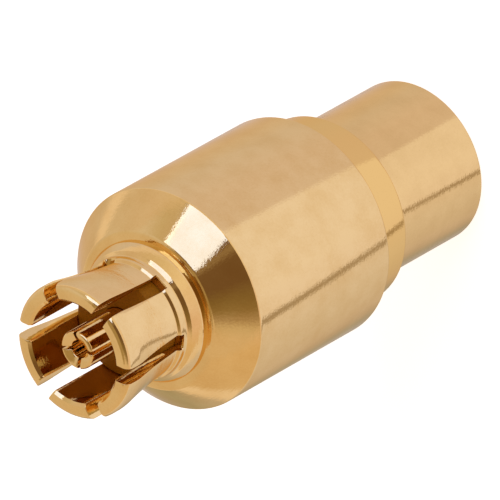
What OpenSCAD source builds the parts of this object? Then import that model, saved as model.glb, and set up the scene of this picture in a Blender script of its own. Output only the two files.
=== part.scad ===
// Push-on sub-miniature coaxial cable connector, socket side.
// It stands on the rear face of its cable tube, with its axis on +Z and its tines up.

/* [Main body] */
// Outside diameter of the main body
body_d = 3.3; // [3.0:0.01:3.6]
// Length of the straight main body
body_len = 2.88; // [2.6:0.01:3.4]
// Diameter of the flat land at the small end of the nose cone
nose_d = 2.34; // [2.25:0.01:2.6]
// Slope of the nose cone, from the axis
nose_angle = 45; // [40:1:55]
// Rounding of the main body's rear edge
body_round = 0.05; // [0.02:0.01:0.1]
// Rounding where the cone meets the main body
cone_round = 0.04; // [0.02:0.01:0.08]
// Thickness of the inner web between the two beads
web_len = 0.5; // [0.4:0.01:0.7]
// Hole through the web, around the centre contact
web_hole_d = 1; // [0.8:0.01:1.2]

/* [Cable ferrule] */
// Outside diameter of the rear tube
tube_d = 2.43; // [2.2:0.01:2.6]
// Length of the rear tube
tube_len = 1.98; // [1.6:0.01:2.4]
// Outside diameter of the step that seats on the main body
step_d = 2.83; // [2.7:0.01:2.9]
// Length of the step
step_len = 0.68; // [0.5:0.01:0.9]
// Rounding of the step's rear edge
step_round = 0.05; // [0.02:0.01:0.08]
// Rounding of the tube's rear edge
tube_round = 0.04; // [0.02:0.01:0.08]
// Diameter of the plug inside the main body
plug_d = 2.3; // [2.1:0.01:2.5]
// Length of the plug inside the main body
plug_len = 1.44; // [1.3:0.01:1.7]
// Bore for the outer conductor of the cable, right through the tube and the plug
cable_bore_d = 1.22; // [1.2:0.01:1.3]
// Chamfer at the mouth of the cable bore
mouth_chamfer = 0.1; // [0.05:0.01:0.15]

/* [Spring contact] */
// Distance from the nose land to the front face of the tines
tine_reach = 1.65; // [1.5:0.01:1.8]
// Outside diameter of the tines at their root
tine_root_d = 1.73; // [1.68:0.01:1.78]
// Outside diameter of the tines where the slope of the lip starts
tine_tip_d = 1.85; // [1.8:0.01:1.9]
// Outside diameter of the snap lip
lip_d = 2.01; // [1.94:0.01:2.08]
// Length of the lip's straight crest
lip_land = 0.16; // [0.1:0.01:0.22]
// Length of the slope behind the crest
lip_slope = 0.43; // [0.3:0.01:0.5]
// Radius of the lip's front edge
lip_round = 0.11; // [0.06:0.01:0.14]
// Bore of the tines
tine_bore_d = 1.52; // [1.48:0.01:1.56]
// Chamfer inside the front of the tines
tine_chamfer = 0.04; // [0.02:0.01:0.06]
// Number of saw cuts, each straight across
saw_cuts = 3; // [2:1:4]
// Width of a saw cut
slot_w = 0.24; // [0.16:0.01:0.3]
// Depth of a saw cut from the front face
slot_depth = 1.34; // [1.2:0.01:1.4]
// Diameter of the collar that seats on the nose land
collar_d = 2.14; // [2.08:0.01:2.2]
// Length of the collar's straight edge
collar_len = 0.05; // [0.03:0.01:0.1]
// Diameter of the neck in front of the collar
neck_d = 1.93; // [1.86:0.01:1.98]
// Length of the neck's straight part
neck_len = 0.03; // [0.02:0.01:0.06]
// Slope of the collar's front, from the axis
collar_angle = 31; // [25:1:45]
// Radius between the neck and the tines
root_fillet = 0.12; // [0.08:0.01:0.14]
// Diameter of the shank inside the main body
shank_d = 2; // [1.9:0.01:2.05]
// Length of the shank inside the main body
shank_len = 0.92; // [0.8:0.01:1.1]

/* [Centre contact] */
// Outside diameter of the socket barrel
socket_d = 0.57; // [0.5:0.01:0.62]
// Distance that the socket's nose lies behind the front of the tines
socket_setback = 0.1; // [0.02:0.01:0.2]
// Radius round the socket's nose
nose_round = 0.04; // [0.02:0.01:0.05]
// Diameter of the funnel that leads the pin in
funnel_d = 0.48; // [0.4:0.01:0.5]
// Depth of the funnel
funnel_depth = 0.05; // [0.02:0.01:0.1]
// Hole for the mating pin
pin_hole_d = 0.26; // [0.24:0.01:0.3]
// Depth of the pin hole
pin_hole_len = 0.95; // [0.8:0.01:1.2]
// Number of petals on the socket
petals = 4; // [2:2:4]
// Width of the saw cuts between the petals
petal_slot_w = 0.05; // [0.03:0.01:0.07]
// Depth of the saw cuts between the petals
petal_slot_depth = 0.75; // [0.6:0.01:0.9]
// Turn of the petals from the saw cuts of the tines
petal_turn = 12; // [0:1:45]
// Diameter of the stem through the beads
stem_d = 0.4; // [0.38:0.01:0.44]
// Hole for the cable's centre conductor
conductor_hole_d = 0.3; // [0.28:0.01:0.32]
// Depth of the conductor hole
conductor_hole_len = 0.6; // [0.5:0.01:0.9]

/* [Beads] */
// Diameter of the front bead's flange
front_bead_d = 1.66; // [1.62:0.01:1.72]
// Distance from the nose land down to the front of the flange
bead_drop = 0.02; // [0:0.01:0.06]
// Length of the front bead's nose, which fills the root of the tines
bead_nose_len = 0.63; // [0.4:0.01:0.7]
// Diameter of the rear bead
rear_bead_d = 1.9; // [1.7:0.01:2.0]
// Radial clearance of every seated piece
fit_gap = 0.01; // [0.005:0.005:0.02]

/* [Hidden] */
$fn = 96;
cut_margin = 0.2;
arc_steps = 8;

// Heights of the faces, counted from the tube's rear face
step_z = tube_len;
body_z = step_z + step_len;
cone_z = body_z + body_len;
nose_z = cone_z + (body_d - nose_d) / 2 / tan(nose_angle);
plug_z = body_z + plug_len;
front_z = nose_z + tine_reach;
shank_z = nose_z - shank_len;
web_z = shank_z - web_len;
flange_z = nose_z - bead_drop;
bead_top_z = flange_z + bead_nose_len;
socket_z = front_z - socket_setback;
slot_z = front_z - slot_depth;

// Heights along the outside of the spring contact
bevel_z = nose_z + collar_len;
neck_z = bevel_z + (collar_d - neck_d) / 2 / tan(collar_angle);
fillet_z = neck_z + neck_len;
root_z = fillet_z + root_fillet;
crest_top_z = front_z - lip_round;
crest_z = crest_top_z - lip_land;
tip_z = crest_z - lip_slope;

// Where the quarter round between the neck and the tines starts on the neck
fillet_reach = (tine_root_d / 2 + root_fillet - neck_d / 2) / root_fillet;
fillet_start = -180 + acos(max(0, min(1, fillet_reach)));

// Points of a round stretch, in a half section where x is the radius
function arc(x, z, r, from, to) =
    [for (i = [0 : arc_steps]) let (a = from + (to - from) * i / arc_steps) [x + r * cos(a), z + r * sin(a)]];

// A round that blends a cone of the given slope, below, into the wall of radius x
function cone_blend(x, z, r, slope) =
    arc(x - r, z - r * tan(slope / 2), r, 0, slope);

// A plain round hole along the axis between two heights
module bore(d, z0, z1) {
    translate([0, 0, z0]) cylinder(d = d, h = z1 - z0);
}

// Straight saw cuts across the axis, from the height z0 up past the height z1
module saw(cuts, width, across, z0, z1) {
    for (i = [0 : cuts - 1])
        rotate([0, 0, 180 * i / cuts])
            translate([-across / 2, -width / 2, z0])
                cube([across, width, z1 - z0]);
}

// Turned shell: rear bore for the plug, bead seat, web, front bore for the shank
module body_shell() {
    color("goldenrod")
        difference() {
            rotate_extrude()
                polygon(concat(
                    [[0, body_z]],
                    arc(body_d / 2 - body_round, body_z + body_round, body_round, -90, 0),
                    cone_blend(body_d / 2, cone_z, cone_round, nose_angle),
                    [[nose_d / 2, nose_z], [0, nose_z]]
                ));
            bore(plug_d + 2 * fit_gap, body_z - cut_margin, plug_z);
            bore(rear_bead_d + 2 * fit_gap, plug_z - cut_margin, web_z);
            bore(web_hole_d, web_z - cut_margin, shank_z + cut_margin);
            bore(shank_d + 2 * fit_gap, shank_z, nose_z + cut_margin);
        }
}

// Outline of the spring contact outside the shell, from the nose land to the front face
function contact_outline() = concat(
    [[collar_d / 2, nose_z], [collar_d / 2, bevel_z], [neck_d / 2, neck_z], [neck_d / 2, fillet_z]],
    arc(tine_root_d / 2 + root_fillet, root_z, root_fillet, fillet_start, -180),
    [[tine_tip_d / 2, tip_z], [lip_d / 2, crest_z]],
    arc(lip_d / 2 - lip_round, crest_top_z, lip_round, 0, 90)
);

// Outer contact: tines with a snap lip, collar on the nose land, shank in the shell
module spring_contact() {
    color("gold")
        difference() {
            rotate_extrude()
                polygon(concat(
                    [[0, shank_z], [shank_d / 2, shank_z], [shank_d / 2, nose_z]],
                    contact_outline(),
                    [[0, front_z]]
                ));
            bore(front_bead_d + 2 * fit_gap, shank_z - cut_margin, flange_z);
            bore(tine_bore_d, flange_z - cut_margin, front_z + cut_margin);
            translate([0, 0, front_z - tine_chamfer])
                cylinder(d1 = tine_bore_d, d2 = tine_bore_d + 4 * tine_chamfer, h = 2 * tine_chamfer);
            saw(saw_cuts, slot_w, 2 * lip_d, slot_z, front_z + cut_margin);
        }
}

// Slotted socket on a stem that passes through both beads
module center_contact() {
    color("khaki")
        difference() {
            rotate_extrude()
                polygon(concat(
                    [[0, plug_z], [stem_d / 2, plug_z], [stem_d / 2, flange_z], [socket_d / 2, flange_z]],
                    arc(socket_d / 2 - nose_round, socket_z - nose_round, nose_round, 0, 90),
                    [[0, socket_z]]
                ));
            bore(pin_hole_d, socket_z - pin_hole_len, socket_z + cut_margin);
            translate([0, 0, socket_z - funnel_depth])
                cylinder(d1 = pin_hole_d, d2 = 2 * funnel_d - pin_hole_d, h = 2 * funnel_depth);
            bore(conductor_hole_d, plug_z - cut_margin, plug_z + conductor_hole_len);
            rotate([0, 0, petal_turn])
                saw(petals / 2, petal_slot_w, 2 * socket_d, socket_z - petal_slot_depth, socket_z + cut_margin);
        }
}

// A dielectric bead of the given half section, bored for the stem
module bead(section, z0, z1) {
    color("peru")
        difference() {
            rotate_extrude()
                polygon(section);
            bore(stem_d + 2 * fit_gap, z0 - cut_margin, z1 + cut_margin);
        }
}

// Stepped bead: a flange in the shank, and a nose inside the root of the tines that takes the socket barrel
module front_bead() {
    nose_r = tine_bore_d / 2 - fit_gap;
    difference() {
        bead([
            [0, shank_z],
            [front_bead_d / 2, shank_z],
            [front_bead_d / 2, flange_z],
            [nose_r, flange_z],
            [nose_r, bead_top_z],
            [0, bead_top_z]
        ], shank_z, bead_top_z);
        bore(socket_d + 2 * fit_gap, flange_z, bead_top_z + cut_margin);
    }
}

// Plain bead behind the web
module rear_bead() {
    bead([[0, plug_z], [rear_bead_d / 2, plug_z], [rear_bead_d / 2, web_z], [0, web_z]], plug_z, web_z);
}

// Rear tube, step and plug in one turned piece, bored for the cable
module cable_ferrule() {
    color("darkgoldenrod")
        difference() {
            rotate_extrude()
                polygon(concat(
                    [[0, 0]],
                    arc(tube_d / 2 - tube_round, tube_round, tube_round, -90, 0),
                    [[tube_d / 2, step_z]],
                    arc(step_d / 2 - step_round, step_z + step_round, step_round, -90, 0),
                    [[step_d / 2, body_z], [plug_d / 2, body_z], [plug_d / 2, plug_z], [0, plug_z]]
                ));
            bore(cable_bore_d, -cut_margin, plug_z + cut_margin);
            translate([0, 0, -mouth_chamfer])
                cylinder(d1 = cable_bore_d + 4 * mouth_chamfer, d2 = cable_bore_d, h = 2 * mouth_chamfer);
        }
}

body_shell();
spring_contact();
center_contact();
front_bead();
rear_bead();
cable_ferrule();
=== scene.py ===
import math

import bmesh
import bpy
from mathutils import Euler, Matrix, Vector


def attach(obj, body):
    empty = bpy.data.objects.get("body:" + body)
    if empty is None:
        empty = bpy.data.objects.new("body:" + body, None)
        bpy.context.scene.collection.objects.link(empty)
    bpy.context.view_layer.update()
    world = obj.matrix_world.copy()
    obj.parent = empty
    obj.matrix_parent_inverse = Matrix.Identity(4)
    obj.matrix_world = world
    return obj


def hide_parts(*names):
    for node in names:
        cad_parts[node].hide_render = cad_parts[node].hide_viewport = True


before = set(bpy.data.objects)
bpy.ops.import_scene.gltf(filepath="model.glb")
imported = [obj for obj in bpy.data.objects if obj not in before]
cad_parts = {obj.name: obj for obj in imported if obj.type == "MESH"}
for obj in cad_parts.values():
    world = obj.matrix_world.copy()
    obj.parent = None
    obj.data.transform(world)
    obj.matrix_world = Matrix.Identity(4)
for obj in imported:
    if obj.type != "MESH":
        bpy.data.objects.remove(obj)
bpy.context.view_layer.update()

mm = 0.001  # every size below is in millimetres, unless it says otherwise
touch = 0.0004  # two places nearer than this count as one
sharpFrom = 40  # degrees, a fold sharper than this keeps a hard edge


def turnForm(outline, steps, closed=True):  # spins a half section of (radius, height) places
    form = bmesh.new()
    verts = [form.verts.new((radius * mm, 0, height * mm)) for radius, height in outline]
    pairs = list(zip(verts, verts[1:]))
    if closed:
        pairs.append((verts[-1], verts[0]))
    edges = [form.edges.new(pair) for pair in pairs]
    bmesh.ops.spin(form, geom=verts + edges, axis=(0, 0, 1), cent=(0, 0, 0),
                   angle=math.tau, steps=steps, use_merge=True)
    bmesh.ops.remove_doubles(form, verts=form.verts[:], dist=touch * mm)
    bmesh.ops.recalc_face_normals(form, faces=form.faces[:])
    return form


def place(vert):  # its distance from the axis, and its height
    return math.hypot(vert.co.x, vert.co.y) / mm, vert.co.z / mm


def roundRing(form, radius, height, width, segments):  # rounds one turned edge
    ring = [edge for edge in form.edges
            if all(math.dist(place(vert), (radius, height)) < touch for vert in edge.verts)]
    bmesh.ops.bevel(form, geom=ring, offset=width * mm, offset_type="OFFSET", segments=segments,
                    profile=0.5, affect="EDGES", material=-1, clamp_overlap=True)


def fromSlot(co, pitch):  # angle from the nearest slot's middle, and that slot's number
    angle = math.atan2(co.y, co.x)
    number = round(angle / pitch)
    return angle - number * pitch, number


def sawSlots(form, saw):  # cuts straight slots from the front down to saw["bottom"]
    pitch = math.tau / saw["slots"]
    half = saw["width"] / 2
    bottom = saw["bottom"]
    wallLine = math.radians(saw["wallLine"])
    near = math.radians(0.2)

    def above(co):
        return co.z / mm > bottom - touch

    bmesh.ops.bisect_plane(form, geom=form.verts[:] + form.edges[:] + form.faces[:],
                           dist=touch * mm, plane_co=(0, 0, bottom * mm), plane_no=(0, 0, 1))
    for vert in form.verts:  # the grid line nearest each wall moves onto the wall
        angle, number = fromSlot(vert.co, pitch)
        if above(vert.co) and abs(abs(angle) - wallLine) < near:
            radius = place(vert)[0]
            moved = number * pitch + math.copysign(math.asin(half / radius), angle)
            vert.co.x, vert.co.y = radius * mm * math.cos(moved), radius * mm * math.sin(moved)
            vert.tag = True
    waste = []
    for face in form.faces:
        middle = face.calc_center_median()
        inside = all(vert.tag or abs(fromSlot(vert.co, pitch)[0]) < wallLine - near
                     for vert in face.verts)
        if inside and middle.z / mm > bottom + touch:
            waste.append(face)
    bmesh.ops.delete(form, geom=waste, context="FACES")

    cut = []
    for number in range(saw["slots"]):
        turn = number * pitch
        along = Vector((math.cos(turn), math.sin(turn), 0))
        across = Vector((-math.sin(turn), math.cos(turn), 0))

        def onWall(vert, side):
            return (above(vert.co) and vert.co.dot(along) > 0
                    and abs(vert.co.dot(across) / mm - side * half) < touch)

        floorEdges = []
        for side in (-1, 1):
            wall = [edge for edge in form.edges
                    if edge.is_boundary and all(onWall(vert, side) for vert in edge.verts)]
            feet = {vert for edge in wall for vert in edge.verts
                    if vert.co.z / mm < bottom + touch}
            foot = form.edges.new(tuple(feet))
            cut += bmesh.ops.contextual_create(form, geom=wall + [foot])["faces"]
            floorEdges.append(foot)

        def onFloor(vert):
            return (abs(vert.co.z / mm - bottom) < touch and vert.co.dot(along) > 0
                    and abs(vert.co.dot(across) / mm) < half + touch)

        floorEdges += [edge for edge in form.edges
                       if edge.is_boundary and edge not in floorEdges
                       and all(onFloor(vert) for vert in edge.verts)]
        cut += bmesh.ops.contextual_create(form, geom=floorEdges)["faces"]
    bmesh.ops.recalc_face_normals(form, faces=form.faces[:])
    rounding = form.edges.layers.float.new("bevel_weight_edge")
    low, high = saw["roundingGrows"]  # the rim is rounder above than below
    for edge in {edge for face in cut for edge in face.edges
                 if not all(other in cut for other in edge.link_faces)}:
        height = sum(vert.co.z for vert in edge.verts) / 2 / mm
        grown = min(1, max(0, (height - low) / (high - low)))
        edge[rounding] = saw["leastRounding"] + (1 - saw["leastRounding"]) * grown


def makePiece(form, name, node, material, rim=0):
    bmesh.ops.recalc_face_normals(form, faces=form.faces[:])
    mesh = bpy.data.meshes.new(name)
    form.to_mesh(mesh)
    form.free()
    mesh.shade_smooth()
    mesh.set_sharp_from_angle(angle=math.radians(sharpFrom))
    mesh.materials.append(material)
    piece = bpy.data.objects.new(name, mesh)
    bpy.context.collection.objects.link(piece)
    if rim:  # a sawn rim is rounded where it has a bevel weight, and isn't a sharp edge there
        weights = mesh.attributes["bevel_weight_edge"].data
        for edge in mesh.edges:
            if weights[edge.index].value > 0:
                edge.use_edge_sharp = False
        roundRim = piece.modifiers.new("roundRim", "BEVEL")
        roundRim.limit_method = "WEIGHT"
        roundRim.width = rim * mm
        roundRim.segments = 3
    even = piece.modifiers.new("evenNormals", "WEIGHTED_NORMAL")
    even.keep_sharp = True
    even.weight = 50
    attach(piece, "root")
    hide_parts(node)
    print("made", name, len(mesh.polygons), "faces")


# Materials

def newMaterial(name):
    material = bpy.data.materials.new(name)
    material.use_nodes = True
    nodes = material.node_tree.nodes
    nodes.clear()
    output = nodes.new("ShaderNodeOutputMaterial")
    shader = nodes.new("ShaderNodeBsdfPrincipled")
    material.node_tree.links.new(shader.outputs[0], output.inputs["Surface"])
    return material, nodes, material.node_tree.links, shader


def addNoise(nodes, links, source, size, detail):
    pattern = nodes.new("ShaderNodeTexNoise")
    pattern.inputs["Scale"].default_value = 1 / (size * mm)
    pattern.inputs["Detail"].default_value = detail
    links.new(source, pattern.inputs["Vector"])
    return pattern.outputs["Fac"]


def addRange(nodes, links, source, fromMin, fromMax, toMin, toMax):
    spread = nodes.new("ShaderNodeMapRange")
    for name, value in (("From Min", fromMin), ("From Max", fromMax),
                        ("To Min", toMin), ("To Max", toMax)):
        spread.inputs[name].default_value = value
    links.new(source, spread.inputs["Value"])
    return spread.outputs[0]


def addMath(nodes, links, operation, first, second):
    step = nodes.new("ShaderNodeMath")
    step.operation = operation
    for number, source in enumerate((first, second)):
        if isinstance(source, (int, float)):
            step.inputs[number].default_value = source
        else:
            links.new(source, step.inputs[number])
    return step.outputs[0]


goldLook = {
    "colour": (0.90, 0.68, 0.32, 1),
    "deepColour": (0.835, 0.60, 0.256, 1),
    "edgeTint": (1, 0.86, 0.66, 1),  # colour at glancing angles
    "gloss": 0.03,  # lowest roughness
    "dull": 0.07,  # highest roughness
    "cloud": 0.4,  # mm, size of the dull and bright patches
    "grain": 0.035,  # mm, size of the plating's grain
    "grooves": 0.02,  # mm, spacing of the fine turning marks
    "streaks": 0.07,  # mm, spacing of the coarse ones
    "grooveDepth": 0.04,
    "streakDepth": 0.015,
    "grainDepth": 0.03,
    "grainShare": 0.4,  # of the grain in the deeper patches of colour
    "patchRange": (0.55, 0.9),  # noise over which the colour deepens
    "dullRange": (0.7, 1.3),  # and over which the gloss gives way
    "wornRange": (0.35, 0.65),  # and over which the marks deepen
    "leastWorn": 0.3,
}


def goldPlate(name, look):
    material, nodes, links, shader = newMaterial(name)
    shader.inputs["Metallic"].default_value = 1
    shader.inputs["Specular Tint"].default_value = look["edgeTint"]

    where = nodes.new("ShaderNodeTexCoord").outputs["Object"]
    split = nodes.new("ShaderNodeSeparateXYZ")
    links.new(where, split.inputs[0])
    flat = nodes.new("ShaderNodeCombineXYZ")
    links.new(split.outputs["X"], flat.inputs["X"])
    links.new(split.outputs["Y"], flat.inputs["Y"])
    radius = nodes.new("ShaderNodeVectorMath")
    radius.operation = "LENGTH"
    links.new(flat.outputs[0], radius.inputs[0])
    ring = nodes.new("ShaderNodeCombineXYZ")  # the same all the way round
    links.new(radius.outputs["Value"], ring.inputs["X"])
    links.new(split.outputs["Z"], ring.inputs["Z"])

    cloud = addNoise(nodes, links, where, look["cloud"], detail=4)
    grooves = addNoise(nodes, links, ring.outputs[0], look["grooves"], detail=2)
    streaks = addNoise(nodes, links, ring.outputs[0], look["streaks"], detail=1)
    grain = addNoise(nodes, links, where, look["grain"], detail=3)

    tone = nodes.new("ShaderNodeMix")
    tone.data_type = "RGBA"
    tone.inputs["A"].default_value = look["colour"]
    tone.inputs["B"].default_value = look["deepColour"]
    patches = addMath(nodes, links, "MULTIPLY", grain, look["grainShare"])
    patches = addMath(nodes, links, "ADD", cloud, patches)
    links.new(addRange(nodes, links, patches, *look["patchRange"], 0, 1), tone.inputs["Factor"])
    colour = tone.outputs["Result"]
    if "band" in look:  # a stretch of the axis that is a deeper colour
        low, high = (height * mm for height in look["band"])
        blur = look["bandBlur"] * mm
        pastLow = addRange(nodes, links, split.outputs["Z"], low - blur, low + blur, 0, 1)
        beforeHigh = addRange(nodes, links, split.outputs["Z"], high - blur, high + blur, 1, 0)
        inside = addMath(nodes, links, "MULTIPLY", pastLow, beforeHigh)
        band = nodes.new("ShaderNodeMix")
        band.data_type = "RGBA"
        links.new(inside, band.inputs["Factor"])
        links.new(colour, band.inputs["A"])
        band.inputs["B"].default_value = look["bandColour"]
        colour = band.outputs["Result"]
    links.new(colour, shader.inputs["Base Color"])

    dulling = addMath(nodes, links, "ADD", cloud, streaks)
    links.new(addRange(nodes, links, dulling, *look["dullRange"], look["gloss"], look["dull"]),
              shader.inputs["Roughness"])

    worn = addRange(nodes, links, cloud, *look["wornRange"], look["leastWorn"], 1)
    height = addMath(nodes, links, "MULTIPLY", grooves, worn)
    normal = None
    for source, size, depth in ((height, "grooves", "grooveDepth"),
                                (streaks, "streaks", "streakDepth"),
                                (grain, "grain", "grainDepth")):
        bump = nodes.new("ShaderNodeBump")
        bump.inputs["Strength"].default_value = look[depth]
        bump.inputs["Distance"].default_value = look[size] * mm
        links.new(source, bump.inputs["Height"])
        if normal:
            links.new(normal, bump.inputs["Normal"])
        normal = bump.outputs[0]
    links.new(normal, shader.inputs["Normal"])
    return material


def beadPlastic(name, look):
    material, nodes, links, shader = newMaterial(name)
    where = nodes.new("ShaderNodeTexCoord").outputs["Object"]
    shader.inputs["Specular IOR Level"].default_value = look["shine"]
    marks = addNoise(nodes, links, where, look["marks"], detail=3)
    tone = nodes.new("ShaderNodeMix")
    tone.data_type = "RGBA"
    tone.inputs["A"].default_value = look["colour"]
    tone.inputs["B"].default_value = look["deepColour"]
    links.new(marks, tone.inputs["Factor"])
    links.new(tone.outputs["Result"], shader.inputs["Base Color"])
    links.new(addRange(nodes, links, marks, 0, 1, look["gloss"], look["dull"]),
              shader.inputs["Roughness"])
    bump = nodes.new("ShaderNodeBump")
    bump.inputs["Strength"].default_value = look["markDepth"]
    bump.inputs["Distance"].default_value = look["marks"] * mm
    links.new(marks, bump.inputs["Height"])
    links.new(bump.outputs[0], shader.inputs["Normal"])
    return material


ferruleLook = goldLook | {"colour": (0.90, 0.66, 0.292, 1), "band": (1.99, 2.70), "bandBlur": 0.01,
                          "bandColour": (0.885, 0.615, 0.225, 1)}
contactLook = goldLook | {"grooveDepth": 0.03}
beadLook = {"colour": (0.42, 0.175, 0.004, 1), "deepColour": (0.32, 0.12, 0.002, 1), "shine": 0.15,
            "marks": 0.03, "markDepth": 0.15, "gloss": 0.5, "dull": 0.65}
shellGold = goldPlate("shellGold", goldLook)
ferruleGold = goldPlate("ferruleGold", ferruleLook)
tineGold = goldPlate("tineGold", contactLook)
socketGold = goldPlate("socketGold", contactLook)
beadAmber = beadPlastic("beadAmber", beadLook)
print("materials ready")


# Pieces

ringSteps = 120  # round each turned piece

shell = {"bodyRadius": 1.65, "rear": 2.66, "coneStart": 5.54, "noseRadius": 1.17, "nose": 6.02,
         "plugBore": 1.16, "plugDepth": 4.10, "beadBore": 0.96, "webRear": 4.60, "webHole": 0.5,
         "webFront": 5.10, "shankBore": 1.01, "rearRound": 0.05, "coneRound": 0.02,
         "noseRound": 0.035}
form = turnForm([
    (shell["plugBore"], shell["rear"]), (shell["bodyRadius"], shell["rear"]),
    (shell["bodyRadius"], shell["coneStart"]), (shell["noseRadius"], shell["nose"]),
    (shell["shankBore"], shell["nose"]), (shell["shankBore"], shell["webFront"]),
    (shell["webHole"], shell["webFront"]), (shell["webHole"], shell["webRear"]),
    (shell["beadBore"], shell["webRear"]), (shell["beadBore"], shell["plugDepth"]),
    (shell["plugBore"], shell["plugDepth"])], ringSteps)
roundRing(form, shell["bodyRadius"], shell["rear"], shell["rearRound"], segments=4)
roundRing(form, shell["bodyRadius"], shell["coneStart"], shell["coneRound"], segments=3)
roundRing(form, shell["noseRadius"], shell["nose"], shell["noseRound"], segments=4)
makePiece(form, "bodyShell", "body_shell", shellGold)

ferrule = {"tubeRadius": 1.215, "stepStart": 1.98, "stepRadius": 1.415, "seat": 2.66,
           "plugRadius": 1.15, "plugEnd": 4.10, "bore": 0.61, "mouth": 0.10, "rearRound": 0.04,
           "tubeRound": 0.02, "stepRound": 0.05}
form = turnForm([
    (ferrule["bore"], ferrule["mouth"]), (ferrule["bore"] + ferrule["mouth"], 0),
    (ferrule["tubeRadius"], 0), (ferrule["tubeRadius"], ferrule["stepStart"]),
    (ferrule["stepRadius"], ferrule["stepStart"]), (ferrule["stepRadius"], ferrule["seat"]),
    (ferrule["plugRadius"], ferrule["seat"]), (ferrule["plugRadius"], ferrule["plugEnd"]),
    (ferrule["bore"], ferrule["plugEnd"])], ringSteps)
roundRing(form, ferrule["tubeRadius"], 0, ferrule["rearRound"], segments=4)
roundRing(form, ferrule["tubeRadius"], ferrule["stepStart"], ferrule["tubeRound"], segments=3)
roundRing(form, ferrule["stepRadius"], ferrule["stepStart"], ferrule["stepRound"], segments=4)
makePiece(form, "cableFerrule", "cable_ferrule", ferruleGold)

tines = {"shankRear": 5.10, "shankRadius": 1.0, "beadBore": 0.84, "flangeFront": 6.0, "bore": 0.76,
         "land": 6.02, "collarRadius": 1.045, "collarFront": 6.07, "neckRadius": 0.965,
         "neckRear": 6.212, "rootFront": 6.42, "rootRadius": 0.865, "slopeRadius": 0.925,
         "slopeStart": 6.97, "lipRadius": 1.005, "crestRear": 7.40, "front": 7.67, "chamfer": 0.04,
         "throatRadius": 0.91, "throatRear": 6.27, "throatFront": 6.38, "lipRound": 0.11,
         "collarRound": 0.015, "neckRound": 0.012, "throatRound": 0.015, "rootRound": 0.012,
         "slopeRound": 0.2, "crestRound": 0.05, "sawnRound": 0.035}
form = turnForm([
    (tines["beadBore"], tines["shankRear"]), (tines["shankRadius"], tines["shankRear"]),
    (tines["shankRadius"], tines["land"]), (tines["collarRadius"], tines["land"]),
    (tines["collarRadius"], tines["collarFront"]), (tines["neckRadius"], tines["neckRear"]),
    (tines["throatRadius"], tines["throatRear"]),
    (tines["throatRadius"], tines["throatFront"]), (tines["rootRadius"], tines["rootFront"]),
    (tines["slopeRadius"], tines["slopeStart"]), (tines["lipRadius"], tines["crestRear"]),
    (tines["lipRadius"], tines["front"]), (tines["bore"] + tines["chamfer"], tines["front"]),
    (tines["bore"], tines["front"] - tines["chamfer"]), (tines["bore"], tines["flangeFront"]),
    (tines["beadBore"], tines["flangeFront"])], ringSteps)
roundRing(form, tines["lipRadius"], tines["front"], tines["lipRound"], segments=7)
roundRing(form, tines["collarRadius"], tines["collarFront"], tines["collarRound"], segments=2)
roundRing(form, tines["neckRadius"], tines["neckRear"], tines["neckRound"], segments=2)
roundRing(form, tines["throatRadius"], tines["throatRear"], tines["throatRound"], segments=3)
roundRing(form, tines["throatRadius"], tines["throatFront"], tines["rootRound"], segments=2)
roundRing(form, tines["rootRadius"], tines["rootFront"], tines["rootRound"], segments=2)
roundRing(form, tines["slopeRadius"], tines["slopeStart"], tines["slopeRound"], segments=6)
roundRing(form, tines["lipRadius"], tines["crestRear"], tines["crestRound"], segments=3)
sawSlots(form, {"slots": 6, "width": 0.24, "bottom": 6.33, "wallLine": 9,
                "leastRounding": 0.35, "roundingGrows": (6.5, 7.3)})
makePiece(form, "springTines", "spring_contact", tineGold, rim=tines["sawnRound"])

socket = {"radius": 0.285, "front": 7.57, "noseRound": 0.04, "funnel": 0.24, "funnelDepth": 0.05,
          "pinHole": 0.13, "pinDepth": 0.95, "shoulder": 6.0, "stem": 0.2, "stemEnd": 4.10,
          "wireHole": 0.15, "wireDepth": 0.6, "petalTurn": 12, "steps": 48, "funnelRound": 0.01,
          "sawnRound": 0.008}
pinEnd = socket["front"] - socket["pinDepth"]
funnelEnd = socket["front"] - socket["funnelDepth"]
wireEnd = socket["stemEnd"] + socket["wireDepth"]
form = turnForm([
    (0, pinEnd), (socket["pinHole"], pinEnd),
    (socket["pinHole"], funnelEnd), (socket["funnel"], socket["front"]),
    (socket["radius"], socket["front"]), (socket["radius"], socket["shoulder"]),
    (socket["stem"], socket["shoulder"]), (socket["stem"], socket["stemEnd"]),
    (socket["wireHole"], socket["stemEnd"]), (socket["wireHole"], wireEnd),
    (0, wireEnd)], socket["steps"], closed=False)
roundRing(form, socket["radius"], socket["front"], socket["noseRound"], segments=4)
roundRing(form, socket["pinHole"], funnelEnd, socket["funnelRound"], segments=2)
sawSlots(form, {"slots": 4, "width": 0.05, "bottom": 6.82, "wallLine": 7.5,
                "leastRounding": 1, "roundingGrows": (7, 7.5)})
bmesh.ops.rotate(form, verts=form.verts[:], cent=(0, 0, 0),
                 matrix=Euler((0, 0, math.radians(socket["petalTurn"]))).to_matrix())
makePiece(form, "centreSocket", "center_contact", socketGold,
          rim=socket["sawnRound"])

frontBead = {"rear": 5.10, "radius": 0.83, "flangeFront": 6.0, "noseRadius": 0.75, "front": 6.63,
             "hole": 0.21, "seat": 0.295, "frontRound": 0.02}
form = turnForm([
    (frontBead["hole"], frontBead["rear"]), (frontBead["radius"], frontBead["rear"]),
    (frontBead["radius"], frontBead["flangeFront"]),
    (frontBead["noseRadius"], frontBead["flangeFront"]),
    (frontBead["noseRadius"], frontBead["front"]), (frontBead["seat"], frontBead["front"]),
    (frontBead["seat"], frontBead["flangeFront"]),
    (frontBead["hole"], frontBead["flangeFront"])], ringSteps)
roundRing(form, frontBead["noseRadius"], frontBead["front"], frontBead["frontRound"], segments=3)
makePiece(form, "frontBead", "front_bead", beadAmber)

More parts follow.
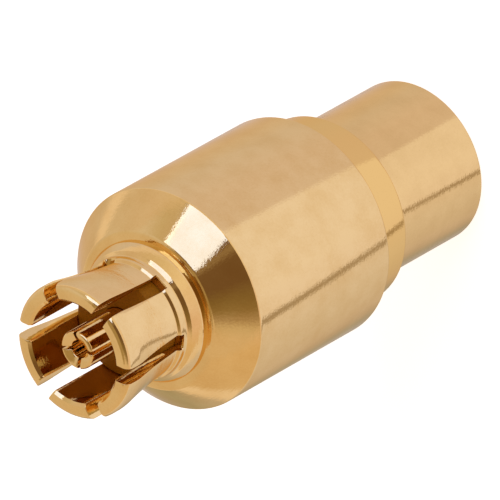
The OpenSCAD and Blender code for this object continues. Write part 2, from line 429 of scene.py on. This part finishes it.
rearBead = {"rear": 4.10, "radius": 0.95, "front": 4.60, "hole": 0.21, "edgeRound": 0.02}
form = turnForm([
    (rearBead["hole"], rearBead["rear"]), (rearBead["radius"], rearBead["rear"]),
    (rearBead["radius"], rearBead["front"]), (rearBead["hole"], rearBead["front"])], ringSteps)
for height in ("rear", "front"):
    roundRing(form, rearBead["radius"], rearBead[height], rearBead["edgeRound"], segments=2)
makePiece(form, "rearBead", "rear_bead", beadAmber)
print("pieces ready")


# Floor, light and camera

studio = {
    "strength": 1.25,  # of the panel colours below
    # colours round the object, by azimuth in degrees, for rays that look below the horizon
    "lowPanels": [(-180, 0.562, 0.488, 0.471), (-137, 0.533, 0.450, 0.408),
                  (-128, 0.382, 0.352, 0.309), (-113, 0.347, 0.338, 0.309),
                  (-101, 0.445, 0.405, 0.408), (-89, 0.519, 0.476, 0.524),
                  (-47, 0.613, 0.565, 0.628), (-25, 0.645, 0.580, 0.630),
                  (-22.8, 0.350, 0.280, 0.240), (-18.6, 0.350, 0.280, 0.240),
                  (-16.4, 0.705, 0.640, 0.720), (10, 0.729, 0.669, 0.738),
                  (70, 0.729, 0.669, 0.738), (74, 0.607, 0.523, 0.562),
                  (110, 0.596, 0.510, 0.548), (150, 0.565, 0.510, 0.562),
                  (180, 0.562, 0.488, 0.471)],
    # a little above the horizon
    "middlePanels": [(-180, 0.569, 0.492, 0.450), (-90, 0.587, 0.447, 0.325),
                     (-40, 0.612, 0.447, 0.298), (-8, 0.676, 0.504, 0.450),
                     (13, 0.711, 0.576, 0.546), (55, 0.740, 0.624, 0.523),
                     (95, 0.622, 0.517, 0.399), (140, 0.578, 0.465, 0.394),
                     (180, 0.569, 0.492, 0.450)],
    # and well above it
    "highPanels": [(-180, 0.569, 0.470, 0.375), (-92, 0.587, 0.447, 0.325),
                   (-34, 0.587, 0.447, 0.325), (-23, 0.516, 0.401, 0.276),
                   (-14, 0.348, 0.246, 0.152), (-4, 0.242, 0.165, 0.073),
                   (8, 0.196, 0.129, 0.051), (24, 0.149, 0.084, 0.039),
                   (49, 0.149, 0.084, 0.039), (57, 0.264, 0.183, 0.106),
                   (64, 0.151, 0.083, 0.042), (108, 0.151, 0.083, 0.042),
                   (114, 0.516, 0.420, 0.330), (126, 0.520, 0.435, 0.334),
                   (140, 0.587, 0.517, 0.485), (180, 0.569, 0.470, 0.375)],
    "zenith": (0.338, 0.240, 0.120, 1),
    "horizon": (0.693, 0.585, 0.541, 1),
    # height of the ray, as the sine of its elevation, over which one gives way to the next
    "lowEnds": (-0.14, -0.05), "middleStarts": (0.02, 0.08),
    "middleEnds": (0.40, 0.48), "highEnds": (0.88, 0.95),
    "floorSize": 0.6,  # metres
    "paper": 0.9,  # the floor's own lightness
    "paperLift": 0.70,  # added to it for the camera
}

floorMesh = bpy.data.meshes.new("studioFloor")
floorForm = bmesh.new()
bmesh.ops.create_grid(floorForm, x_segments=1, y_segments=1, size=studio["floorSize"])
floorForm.to_mesh(floorMesh)
floorForm.free()
studioFloor = bpy.data.objects.new("studioFloor", floorMesh)
bpy.context.collection.objects.link(studioFloor)
studioFloor.visible_glossy = False

floorPaper = bpy.data.materials.new("floorPaper")
floorPaper.use_nodes = True
nodes, links = floorPaper.node_tree.nodes, floorPaper.node_tree.links
nodes.clear()
output = nodes.new("ShaderNodeOutputMaterial")
paper = nodes.new("ShaderNodeBsdfDiffuse")
paper.inputs["Color"].default_value = (studio["paper"], studio["paper"], studio["paper"], 1)
glow = nodes.new("ShaderNodeEmission")
glow.inputs["Color"].default_value = (1, 1, 1, 1)
both = nodes.new("ShaderNodeAddShader")
rays = nodes.new("ShaderNodeLightPath").outputs
seen = addMath(nodes, links, "MAXIMUM", rays["Is Camera Ray"], rays["Is Glossy Ray"])
seen = addMath(nodes, links, "MAXIMUM", seen, rays["Is Transmission Ray"])
links.new(addMath(nodes, links, "MULTIPLY", seen, studio["paperLift"]), glow.inputs["Strength"])
links.new(paper.outputs[0], both.inputs[0])
links.new(glow.outputs[0], both.inputs[1])
links.new(both.outputs[0], output.inputs["Surface"])
floorMesh.materials.append(floorPaper)

world = bpy.data.worlds.new("studioRoom")
bpy.context.scene.world = world
world.use_nodes = True
nodes, links = world.node_tree.nodes, world.node_tree.links
nodes.clear()
output = nodes.new("ShaderNodeOutputWorld")
room = nodes.new("ShaderNodeBackground")
links.new(room.outputs[0], output.inputs["Surface"])
facing = nodes.new("ShaderNodeSeparateXYZ")
links.new(nodes.new("ShaderNodeTexCoord").outputs["Generated"], facing.inputs[0])
bearing = addMath(nodes, links, "ARCTAN2", facing.outputs["Y"], facing.outputs["X"])
bearing = addRange(nodes, links, bearing, -math.pi, math.pi, 0, 1)


def panelRamp(panels):
    ramp = nodes.new("ShaderNodeValToRGB")
    stops = ramp.color_ramp.elements
    for number, (azimuth, red, green, blue) in enumerate(panels):
        position = (azimuth + 180) / 360
        stop = stops[number] if number < 2 else stops.new(position)
        stop.position = position
        stop.color = (red, green, blue, 1)
    links.new(bearing, ramp.inputs["Fac"])
    return ramp.outputs["Color"]


def blendUp(below, above, heights):  # goes from one colour to another as the ray looks higher
    step = nodes.new("ShaderNodeMapRange")
    step.interpolation_type = "SMOOTHSTEP"
    step.inputs["From Min"].default_value, step.inputs["From Max"].default_value = heights
    links.new(facing.outputs["Z"], step.inputs["Value"])
    mix = nodes.new("ShaderNodeMix")
    mix.data_type = "RGBA"
    links.new(step.outputs[0], mix.inputs["Factor"])
    for source, side in ((below, "A"), (above, "B")):
        if isinstance(source, tuple):
            mix.inputs[side].default_value = source
        else:
            links.new(source, mix.inputs[side])
    return mix.outputs["Result"]


sky = blendUp(panelRamp(studio["lowPanels"]), studio["horizon"], studio["lowEnds"])
sky = blendUp(sky, panelRamp(studio["middlePanels"]), studio["middleStarts"])
sky = blendUp(sky, panelRamp(studio["highPanels"]), studio["middleEnds"])
sky = blendUp(sky, studio["zenith"], studio["highEnds"])
links.new(sky, room.inputs["Color"])
room.inputs["Strength"].default_value = studio["strength"]

softboxes = [
    {"name": "keyBox", "towards": (0.01, 0.76, 0.645), "distance": 0.6, "width": 0.42,
     "height": 0.34, "radiance": 2.31, "colour": (0.424, 0.542, 1)},  # sizes in metres
]
for box in softboxes:
    lamp = bpy.data.lights.new(box["name"], "AREA")
    lamp.shape = "RECTANGLE"
    lamp.size, lamp.size_y = box["width"], box["height"]
    lamp.energy = box["radiance"] * math.pi * box["width"] * box["height"]
    lamp.color = box["colour"]
    holder = bpy.data.objects.new(box["name"], lamp)
    towards = Vector(box["towards"]).normalized()
    holder.location = towards * box["distance"]
    holder.rotation_euler = towards.to_track_quat("Z", "Y").to_euler()
    bpy.context.collection.objects.link(holder)

view = {"place": (108.7243, 102.5154, 149.2869), "turn": (-26.6635, 38.6612, 4.5083),
        "lens": 1074.17, "sensor": 36, "nearest": 0.01, "farthest": 10}  # the last two in metres
camera = bpy.data.cameras.new("photoCamera")
camera.lens = view["lens"]
camera.sensor_width = view["sensor"]
camera.clip_start, camera.clip_end = view["nearest"], view["farthest"]
viewer = bpy.data.objects.new("photoCamera", camera)
viewer.location = Vector(view["place"]) * mm
viewer.rotation_euler = Euler([math.radians(angle) for angle in view["turn"]])
bpy.context.collection.objects.link(viewer)
bpy.context.scene.camera = viewer
bpy.context.scene.view_settings.view_transform = "Standard"
print("studio ready")
